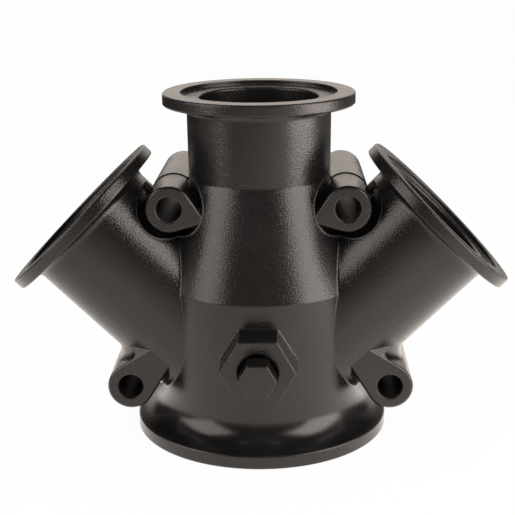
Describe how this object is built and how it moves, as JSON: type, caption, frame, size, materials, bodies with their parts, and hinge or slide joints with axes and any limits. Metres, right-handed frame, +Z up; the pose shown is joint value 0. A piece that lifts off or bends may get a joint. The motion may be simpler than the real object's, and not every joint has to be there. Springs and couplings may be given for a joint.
{
  "type": "wye cross fitting",
  "caption": "Plastic pipe manifold with a large flanged inlet below, an upright flanged outlet, a slanted flanged outlet on either side, long bolt lugs and a plugged hexagonal port.",
  "frame": {"origin": "centre of the underside of the large bottom flange", "axes": "+Z up along the trunk and neck, +X towards the right-hand branch seen from the port's side, the port faces -Y"},
  "size_m": [0.2174, 0.1223, 0.15],
  "materials": {
    "body": "moulded, satin",
    "plug": "moulded, satin"
  },
  "bodies": {
    "root": {"manifold_body": "body", "port_plug": "plug"}
  },
  "joints": []
}
